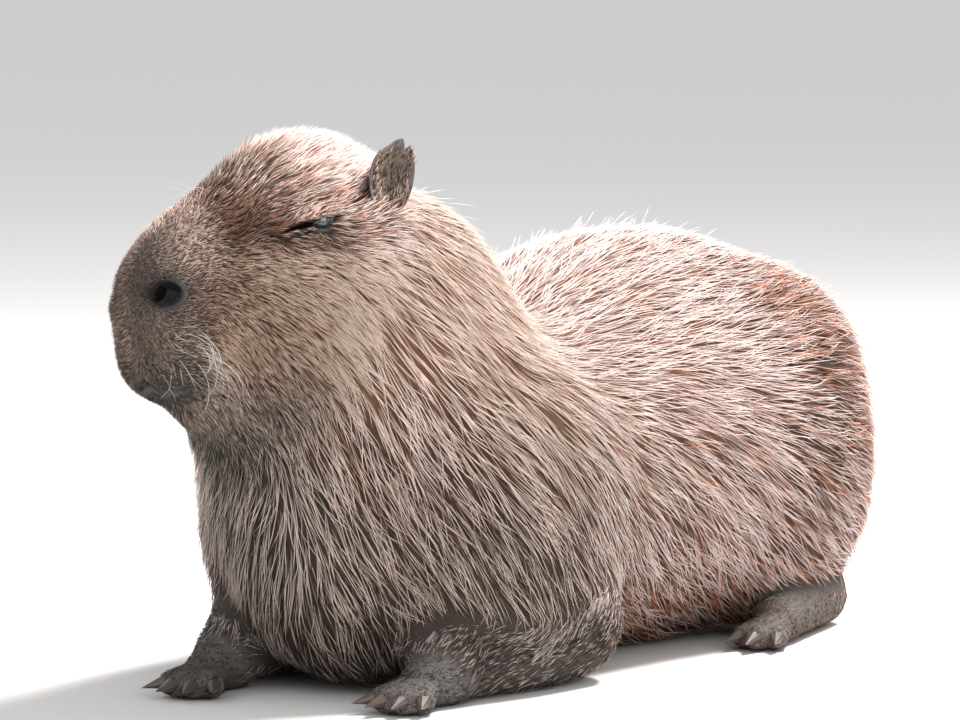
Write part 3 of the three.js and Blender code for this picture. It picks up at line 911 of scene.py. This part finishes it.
# %% The coat
QUICK_SHARE = 1.0
COAT_PARTS = [
    {"name": "face", "on_head": True, "tufts": 56000, "rings": 2, "most": 19000},
    {"name": "body", "on_head": False, "tufts": 58000, "rings": 3, "most": 11500},
]
coats = []
for part in COAT_PARTS:
    count = int(part["tufts"] * QUICK_SHARE)
    places, root_uv = roots(count, part["on_head"])
    form = grow(places, part["rings"], QUICK_SHARE ** -0.5)
    tuft_marks = marks(places, regions(places))
    tones = rng.random((count, 2))
    order = np.argsort(places[:, 1])
    for number, some in enumerate(np.array_split(order, math.ceil(count / part["most"]))):
        name = f"coat_{part['name']}_{number}"
        some_form = tuple(values[some] for values in form)
        coats.append(tuft_mesh(name, some_form, root_uv[some], tones[some], tuft_marks[some]))
print("coat pieces", len(coats), "triangles", sum(len(c.data.polygons) for c in coats))


# %% [markdown]
# ## Whiskers
# Long white whiskers stand off both sides of the muzzle. They leave the skin outwards, curl and
# hang, and a few shorter ones stand on the ridge of the nose.

# %% Whiskers
WHISKER_STEPS = 9
WHISKER_SAG = 0.06


def whisker(root, way, length, bend, flip):
    """A curling line from a place on the skin, in the head's frame."""
    at = surface_from(SKULL_CORE, np.array(root) - SKULL_CORE, -1.5)
    way = np.array(way, float) / np.linalg.norm(way)
    points = [at]
    for _ in range(WHISKER_STEPS):
        way = way + np.cross(bend, way) / WHISKER_STEPS + np.array([0, 0, -WHISKER_SAG])
        way /= np.linalg.norm(way)
        points.append(points[-1] + way * length / WHISKER_STEPS)
    return np.array(points) * (flip, 1, 1)


def whisker_lines(flip):
    lines = []
    for _ in range(13):
        root = (rng.uniform(34, 46), rng.uniform(-172, -146), rng.uniform(44, 84))
        way = (rng.uniform(0.5, 0.9), rng.uniform(0.1, 0.9), rng.uniform(-0.5, 0.1))
        bend = rng.normal(0, 0.7, 3) + np.array([-2.0, 0.3, 0.5]) * rng.uniform(0.3, 1.4)
        lines.append(whisker(root, way, rng.uniform(38, 70), bend * 1.2, flip))
    for _ in range(16):
        root = (rng.uniform(20, 44), rng.uniform(-184, -150), rng.uniform(30, 84))
        way = (rng.uniform(0.7, 1.0), rng.uniform(-0.5, 0.2), rng.uniform(-0.4, 0.1))
        lines.append(whisker(root, way, rng.uniform(12, 34), rng.normal(0, 0.6, 3), flip))
    for _ in range(4):
        root = (rng.uniform(4, 14), rng.uniform(-142, -112), rng.uniform(160, 178))
        way = (rng.uniform(0.0, 0.4), rng.uniform(-0.8, -0.4), rng.uniform(0.3, 0.7))
        lines.append(whisker(root, way, rng.uniform(16, 30), (0.5, 0, 0), flip))
    return lines


whisker_line = from_head(np.array(whisker_lines(1) + whisker_lines(-1)).reshape(-1, 3))
whisker_line = whisker_line.reshape(-1, WHISKER_STEPS + 1, 3)
shape = whisker_line.shape
along_way = np.gradient(whisker_line, axis=1).reshape(-1, 3)
whisker_cross = unit(np.cross(along_way, (0.3, 0.1, 1.0)))
whisker_out = unit(np.cross(along_way, whisker_cross)).reshape(shape) * 1.6
count = len(whisker_line)
whiskers = tuft_mesh(
    "whiskers",
    (whisker_line, whisker_out, whisker_cross.reshape(shape), rng.uniform(0.26, 0.45, count)),
    rng.uniform(0.01, 0.05, (count, 2)),
    rng.random((count, 2)),
    np.tile([0.0, 0.0, 1.0], (count, 1)),
)
print("whiskers", count)


# %% [markdown]
# ## Eyes
# The eyes are nearly shut. A glossy ball sits behind the slit of each pair of lids.

# %% Eyes
def eyeball(name, centre):
    bm = bmesh.new()
    bmesh.ops.create_uvsphere(bm, u_segments=48, v_segments=24, radius=EYE_RADIUS * MM)
    data = bpy.data.meshes.new(name)
    bm.to_mesh(data)
    bm.free()
    data.transform(Matrix.Translation(Vector(centre) * MM))
    return placed(name, smoothed(data))


eyes = []
for name, flip in (("eye_left", 1), ("eye_right", -1)):
    centre = (EYE_PLACE - EYE_SINK) * (flip, 1, 1)
    ball = eyeball(name + "_ball", from_head([centre])[0])
    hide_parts(name)
    eyes.append(ball)
print("eyes", len(eyes))


# %% [markdown]
# ## Ears
# An ear is a thick, cupped leaf with a notch near its top. A formula gives its two faces, and
# the same formula later places the hairs in it.

# %% Ears
EAR_HALF_WIDTH, EAR_HALF_HEIGHT = 21.0, 32.0
EAR_SPIN = np.array(
    Matrix.Rotation(math.radians(88), 3, "Z")
    @ Matrix.Rotation(math.radians(18), 3, "Y")
    @ Matrix.Rotation(math.radians(-5), 3, "X")
)


def ear_outline(angle):
    """Share of the leaf's half sizes at an angle from its top, with a notch and a slope."""
    notch = 0.22 * bump(angle - 0.36, 0.12)
    slope = 0.13 * bump(angle + 0.55, 0.45)
    return 0.98 - notch - slope + 0.02 * np.sin(angle * 3)


def ear_points(share, angle, front):
    reach = ear_outline(angle) * share
    x = EAR_HALF_WIDTH * reach * np.sin(angle)
    z = EAR_HALF_HEIGHT * reach * np.cos(angle)
    cup = 14.0 * (1 - share ** 2)
    wall = 3.8 * np.sqrt(np.clip(1 - share ** 4, 0, 1)) + 1.2
    fold = 2.2 * bump(x - 6, 5) * np.clip(1 - share, 0, 1) * np.cos(angle)
    y = cup - wall / 2 + fold if front else cup + wall / 2
    return np.stack([x, y - 6.5, z], -1)


def ear_mesh(name, flip):
    around, across = 72, 20
    angle = np.linspace(-math.pi, math.pi, around, endpoint=False)
    shares = np.sin(np.linspace(0, math.pi / 2, across + 1))[1:]
    rows = [ear_points(np.full(around, s), angle, True) for s in shares]
    rows += [ear_points(np.full(around, s), angle, False) for s in shares[::-1]]
    centres = [ear_points(np.zeros(1), np.zeros(1), front) for front in (True, False)]
    local = np.concatenate(rows + centres) @ EAR_SPIN.T + EAR_PLACE
    local[:, 0] *= flip
    last = (len(rows) - 1) * around
    front, back = last + around, last + around + 1
    faces = []
    for i in range(around):
        j = (i + 1) % around
        for start in range(0, last, around):
            faces.append((start + i, start + j, start + around + j, start + around + i))
        faces.append((front, j, i))
        faces.append((back, last + i, last + j))
    obj = mesh_object(name, (from_head(local) * MM).tolist(), faces)
    bm = bmesh.new()
    bm.from_mesh(obj.data)
    bmesh.ops.remove_doubles(bm, verts=bm.verts, dist=1e-6)
    bmesh.ops.recalc_face_normals(bm, faces=bm.faces)
    bm.to_mesh(obj.data)
    bm.free()
    smoothed(obj.data)
    return obj


ears = []
for name, flip in (("ear_left", 1), ("ear_right", -1)):
    ear = ear_mesh(name + "_leaf", flip)
    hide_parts(name)
    ears.append(ear)
print("ears", [len(e.data.vertices) for e in ears])


# %% [markdown]
# Hairs line the inside of each ear, and short ones cover its back. The front rim stays nearly
# bare.

# %% Hair of the ears
EAR_HAIRS = 900
HAIR_STEPS = np.array([0.0, 0.55, 1.0])
HAIR_LIFT = np.array([-0.6, 0.0, -0.7])


def ear_hair(name, flip):
    share = np.sqrt(rng.uniform(0.0, 0.97, EAR_HAIRS))
    angle = rng.uniform(-math.pi, math.pi, EAR_HAIRS)
    inner = rng.random(EAR_HAIRS) < 0.6
    front, back = ear_points(share, angle, True), ear_points(share, angle, False)
    root = np.where(inner[:, None], front, back)
    rim = bump(angle + 0.55, 0.95) * rise(0.66, 0.8, share)
    facing = np.where(inner, -1.0, 1.0)
    length = np.where(inner, rng.uniform(6, 12, EAR_HAIRS), rng.uniform(3, 6, EAR_HAIRS)) * (1 - 0.9 * rim)
    way = unit(np.column_stack([
        np.where(inner, -0.35 * np.sin(angle) * share, 0.4) + rng.normal(0, 0.18, EAR_HAIRS),
        0.45 * facing,
        np.where(inner, 0.75 - 0.5 * np.cos(angle) * share, 0.9),
    ]))
    line = root[:, None] + way[:, None] * (length[:, None] * HAIR_STEPS)[:, :, None]
    line[:, :, 1] += facing[:, None] * HAIR_LIFT
    line = line @ EAR_SPIN.T + EAR_PLACE
    way = way @ EAR_SPIN.T
    line[:, :, 0] *= flip
    way[:, 0] *= flip
    line = from_head(line.reshape(-1, 3)).reshape(line.shape)
    way = way @ YAW.T
    cross = unit(np.cross(way, (0.2, -0.9, 0.4)))
    out = unit(np.cross(cross, way))
    frames = [np.repeat(v[:, None], 3, axis=1) for v in (out, cross)]
    uv = np.column_stack([0.02 + 0.05 * (angle / math.tau + 0.5), 0.02 + 0.05 * share])
    ear_marks = np.column_stack([
        np.full(EAR_HAIRS, 0.05), np.where(inner, 0.45, 0.35), np.where(inner, 0.42, 0.6),
    ])
    form = (line, frames[0], frames[1], rng.uniform(0.5, 0.9, EAR_HAIRS))
    return tuft_mesh(name, form, uv, rng.random((EAR_HAIRS, 2)), ear_marks)


ear_coats = [ear_hair("ear_hair_left", 1), ear_hair("ear_hair_right", -1)]
print("ear hairs", len(ear_coats) * EAR_HAIRS)


# %% [markdown]
# ## Materials
# Each bristle is dark at its root, and many have a straw or pinkish tip. The dark root is partly
# painted shade between the hairs. One shader group makes the coat's colours from the marks, and
# the materials set the rest.

# %% Helpers for nodes
def feed(tree, socket, value):
    """Links a socket to another, or sets it to a plain number or colour."""
    if isinstance(value, (int, float)):
        socket.default_value = value
    elif isinstance(value, tuple):
        socket.default_value = (*value, 1)
    else:
        tree.links.new(value, socket)


def math_node(tree, kind, *values):
    node = tree.nodes.new("ShaderNodeMath")
    node.operation = kind
    for socket, value in zip(node.inputs, values):
        feed(tree, socket, value)
    return node.outputs[0]


def mix_colour(tree, share, a, b):
    node = tree.nodes.new("ShaderNodeMix")
    node.data_type = "RGBA"
    node.clamp_factor = True
    for number, value in ((0, share), (6, a), (7, b)):
        feed(tree, node.inputs[number], value)
    return node.outputs[2]


def parts_of(tree, colour):
    node = tree.nodes.new("ShaderNodeSeparateColor")
    tree.links.new(colour, node.inputs[0])
    return node.outputs


# %% Coat colours
ROOT_BROWN_AND_SHADE = (0.030, 0.018, 0.013)
TAN = (0.34, 0.195, 0.120)
RUST = (0.58, 0.24, 0.14)
GOLD = (0.94, 0.74, 0.57)
PINK_STRAW = (1.0, 0.87, 0.84)
SLATE_AND_SHADE = (0.105, 0.103, 0.096)

coat_group = bpy.data.node_groups.new("Coat colour", "ShaderNodeTree")
for socket, way in (("Marks", "INPUT"), ("Tuft", "INPUT"), ("Colour", "OUTPUT")):
    coat_group.interface.new_socket(name=socket, in_out=way, socket_type="NodeSocketColor")
group_in = coat_group.nodes.new("NodeGroupInput")
group_out = coat_group.nodes.new("NodeGroupOutput")
red, dark_and_shade, pale_and_lit = parts_of(coat_group, group_in.outputs["Marks"])
along_tuft, tone, tone_two = parts_of(coat_group, group_in.outputs["Tuft"])
base = mix_colour(coat_group, red, TAN, RUST)
# The dark share pulls the colour to slate, for the real dark of feet and muzzle and for painted shade.
base = mix_colour(coat_group, dark_and_shade, base, SLATE_AND_SHADE)
lit = math_node(coat_group, "MULTIPLY_ADD", math_node(coat_group, "POWER", tone, 1.5), 1.75, 0.05)
lit = math_node(coat_group, "ADD", lit, math_node(coat_group, "MULTIPLY", pale_and_lit, 0.4))
bright = coat_group.nodes.new("ShaderNodeVectorMath")
bright.operation = "SCALE"
coat_group.links.new(base, bright.inputs[0])
coat_group.links.new(lit, bright.inputs[3])
tip_share = math_node(coat_group, "POWER", along_tuft, 0.5)
pale_here = math_node(coat_group, "MULTIPLY", pale_and_lit, 1.35)
chosen = math_node(coat_group, "LESS_THAN", tone_two, pale_here)
strength = math_node(coat_group, "MULTIPLY_ADD", pale_and_lit, 0.35, 0.68)
to_pale = math_node(coat_group, "MULTIPLY", math_node(coat_group, "MULTIPLY", chosen, strength), tip_share)
warm = math_node(coat_group, "MULTIPLY", red, 1.6)
straw = mix_colour(coat_group, warm, GOLD, PINK_STRAW)
tipped = mix_colour(coat_group, to_pale, bright.outputs[0], straw)
# Painted shade between the hairs: the root half of each tuft is darkened, more where the coat is less
# pale.
shade = math_node(coat_group, "MULTIPLY_ADD", pale_and_lit, -0.5, 1.1)
root_share = math_node(coat_group, "MULTIPLY", math_node(coat_group, "SUBTRACT", 1.0, along_tuft), shade)
final = mix_colour(coat_group, root_share, tipped, ROOT_BROWN_AND_SHADE)
coat_group.links.new(final, group_out.inputs["Colour"])
print("group", coat_group.name)


# %% [markdown]
# Coarse hair glints only a little. The bare skin of the nose and the feet is dark with a fine
# grain, and a little wet at the nostrils. It is nearly black in the slits, partly the lids' own
# black and partly painted shade, and painted shade makes it nearly black in the nostrils' holes
# and the line of the mouth.

# %% Hair and skin
def new_material(name, roughness, specular=0.5):
    made = bpy.data.materials.new(name)
    made.use_nodes = True
    shader = made.node_tree.nodes["Principled BSDF"]
    shader.inputs["Roughness"].default_value = roughness
    shader.inputs["Specular IOR Level"].default_value = specular
    return made, made.node_tree, shader


def attribute(tree, name):
    node = tree.nodes.new("ShaderNodeAttribute")
    node.attribute_name = name
    return node.outputs["Color"]


def coat_material(name, roughness):
    made, tree, shader = new_material(name, roughness, 0.16)
    node = tree.nodes.new("ShaderNodeGroup")
    node.node_tree = coat_group
    tree.links.new(attribute(tree, "marks"), node.inputs["Marks"])
    tree.links.new(attribute(tree, "tuft"), node.inputs["Tuft"])
    tree.links.new(node.outputs["Colour"], shader.inputs["Base Color"])
    return made, tree, shader


def noise_bump(tree, shader, scale, distance):
    place = tree.nodes.new("ShaderNodeTexCoord")
    noise = tree.nodes.new("ShaderNodeTexNoise")
    noise.inputs["Scale"].default_value = scale
    noise.inputs["Detail"].default_value = 4.0
    tree.links.new(place.outputs["Object"], noise.inputs["Vector"])
    relief = tree.nodes.new("ShaderNodeBump")
    relief.inputs["Distance"].default_value = distance
    tree.links.new(noise.outputs["Fac"], relief.inputs["Height"])
    tree.links.new(relief.outputs["Normal"], shader.inputs["Normal"])
    return noise.outputs["Fac"]


tuft_look, _, _ = coat_material("coat hair", 0.55)
skin_look, skin_tree, skin_shader = coat_material("coat underlayer", 0.8)
skin_noise = noise_bump(skin_tree, skin_shader, 420, 0.0012)
black_and_shade, bare, wet = parts_of(skin_tree, attribute(skin_tree, "bare"))
under_coat = skin_shader.inputs["Base Color"].links[0].from_socket
bare_colour = mix_colour(skin_tree, skin_noise, (0.060, 0.055, 0.053), (0.21, 0.195, 0.185))
skin_colour = mix_colour(skin_tree, bare, under_coat, bare_colour)
# Painted shade: the black share turns the slits, the nostril holes and the mouth line near-black.
skin_colour = mix_colour(skin_tree, black_and_shade, skin_colour, (0.004, 0.0035, 0.0035))
skin_tree.links.new(skin_colour, skin_shader.inputs["Base Color"])
skin_rough = math_node(skin_tree, "MULTIPLY_ADD", wet, -0.5, 0.8)
skin_tree.links.new(skin_rough, skin_shader.inputs["Roughness"])
print("hair", tuft_look.name, "skin", skin_look.name)


# %% [markdown]
# The eyeball is nearly black and wet, with a painted reflection: blue-grey streaks from a
# stretched noise.

# %% Eye, ear, whisker and claw
eye_look, eye_tree, eye_shader = new_material("eye", 0.06, 0.6)
eye_place = eye_tree.nodes.new("ShaderNodeTexCoord")
eye_stretch = eye_tree.nodes.new("ShaderNodeMapping")
eye_stretch.inputs["Scale"].default_value = (420, 420, 90)
eye_tree.links.new(eye_place.outputs["Object"], eye_stretch.inputs["Vector"])
eye_reflection_noise = eye_tree.nodes.new("ShaderNodeTexNoise")
eye_reflection_noise.inputs["Scale"].default_value = 1.0
eye_tree.links.new(eye_stretch.outputs["Vector"], eye_reflection_noise.inputs["Vector"])
eye_reflection_share = math_node(eye_tree, "POWER", eye_reflection_noise.outputs["Fac"], 2.6)
# Painted reflection: blue-grey streaks of sky and lashes are mixed into the eye's colour.
eye_colour = mix_colour(eye_tree, eye_reflection_share, (0.003, 0.003, 0.004), (0.26, 0.31, 0.38))
eye_tree.links.new(eye_colour, eye_shader.inputs["Base Color"])
eye_shader.inputs["Coat Weight"].default_value = 1.0

ear_look, ear_tree, ear_shader = new_material("ear skin", 0.6, 0.4)
ear_noise = noise_bump(ear_tree, ear_shader, 260, 0.0009)
ear_colour = mix_colour(ear_tree, ear_noise, (0.075, 0.062, 0.058), (0.24, 0.205, 0.19))
ear_tree.links.new(ear_colour, ear_shader.inputs["Base Color"])

whisker_look, _, whisker_shader = new_material("whisker", 0.35, 0.5)
whisker_shader.inputs["Base Color"].default_value = (0.86, 0.84, 0.80, 1)

claw_look, claw_tree, claw_shader = new_material("claw horn", 0.35, 0.5)
claw_noise = noise_bump(claw_tree, claw_shader, 180, 0.0003)
claw_colour = mix_colour(claw_tree, claw_noise, (0.035, 0.026, 0.022), (0.11, 0.085, 0.07))
claw_tree.links.new(claw_colour, claw_shader.inputs["Base Color"])
print("looks", eye_look.name, ear_look.name, whisker_look.name, claw_look.name)


# %% [markdown]
# Every piece gets its material, its body and its slot. The claws stay as solids, because their
# plain shape is right already.

# %% Finish the pieces
def finish(piece, look):
    piece.data.materials.clear()
    piece.data.materials.append(look)
    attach(piece, "root")


finish(skin, skin_look)
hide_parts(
    "torso", "neck", "head", "tail", "foreleg_left", "foreleg_right", "hind_leg_left",
    "hind_leg_right", "forefoot_left", "forefoot_right", "hind_foot_left", "hind_foot_right",
)
for piece in coats + ear_coats:
    finish(piece, tuft_look)
finish(whiskers, whisker_look)
for piece in eyes:
    finish(piece, eye_look)
for piece in ears:
    finish(piece, ear_look)
for name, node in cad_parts.items():
    if "claw" in name:
        node.data.materials.clear()
        node.data.materials.append(claw_look)
print("materials", len(bpy.data.materials))


# %% [markdown]
# ## Floor, light and camera
# A pale plain floor in even light, with a stronger light from above and behind and a weak one
# from the front. A long lens looks from a little above the floor at the left side.

# %% Stage
floor = mesh_object("floor", [(-24, -8, 0), (24, -8, 0), (24, 40, 0), (-24, 40, 0)], [(0, 1, 2, 3)])
floor_look, _, floor_shader = new_material("floor", 0.9, 0.2)
floor_shader.inputs["Base Color"].default_value = (0.80, 0.79, 0.77, 1)
floor.data.materials.append(floor_look)

world = bpy.data.worlds.new("studio")
world.use_nodes = True
world.node_tree.nodes["Background"].inputs["Color"].default_value = (0.94, 0.95, 0.98, 1)
world.node_tree.nodes["Background"].inputs["Strength"].default_value = 0.80
scene.world = world


def area_light(name, place, target, size, power, colour):
    data = bpy.data.lights.new(name, "AREA")
    data.size = size
    data.energy = power
    data.color = colour
    obj = placed(name, data)
    obj.location = place
    way = Vector(target) - Vector(place)
    obj.rotation_euler = way.to_track_quat("-Z", "Y").to_euler()


area_light("sun side", (0.9, 1.2, 2.9), (0, 0.05, 0.2), 0.7, 240, (1.0, 0.96, 0.93))
area_light("fill", (2.4, -2.6, 1.6), (0, 0, 0.2), 2.0, 36, (1.0, 0.97, 0.93))
print("lights", len(bpy.data.lights))

# %% [markdown]
# The camera stands five metres off, ahead of the left side, as in the photograph.

# %% Camera
CAMERA_AZIMUTH, CAMERA_HEIGHT_ANGLE = math.radians(28), math.radians(5)
CAMERA_TARGET = Vector((-0.017, -0.009, 0.24))
CAMERA_DISTANCE = 5.0
CAMERA_LENS = 231
back = Vector((
    math.sin(CAMERA_AZIMUTH) * math.cos(CAMERA_HEIGHT_ANGLE),
    -math.cos(CAMERA_AZIMUTH) * math.cos(CAMERA_HEIGHT_ANGLE),
    math.sin(CAMERA_HEIGHT_ANGLE),
))
camera_data = bpy.data.cameras.new("camera")
camera_data.lens = CAMERA_LENS
camera_data.sensor_width = 36
camera_data.clip_end = 100
camera = placed("camera", camera_data)
camera.location = CAMERA_TARGET + back * CAMERA_DISTANCE
camera.rotation_euler = (-back).to_track_quat("-Z", "Y").to_euler()
scene.camera = camera
scene.view_settings.view_transform = "Standard"
print("camera", camera.location)
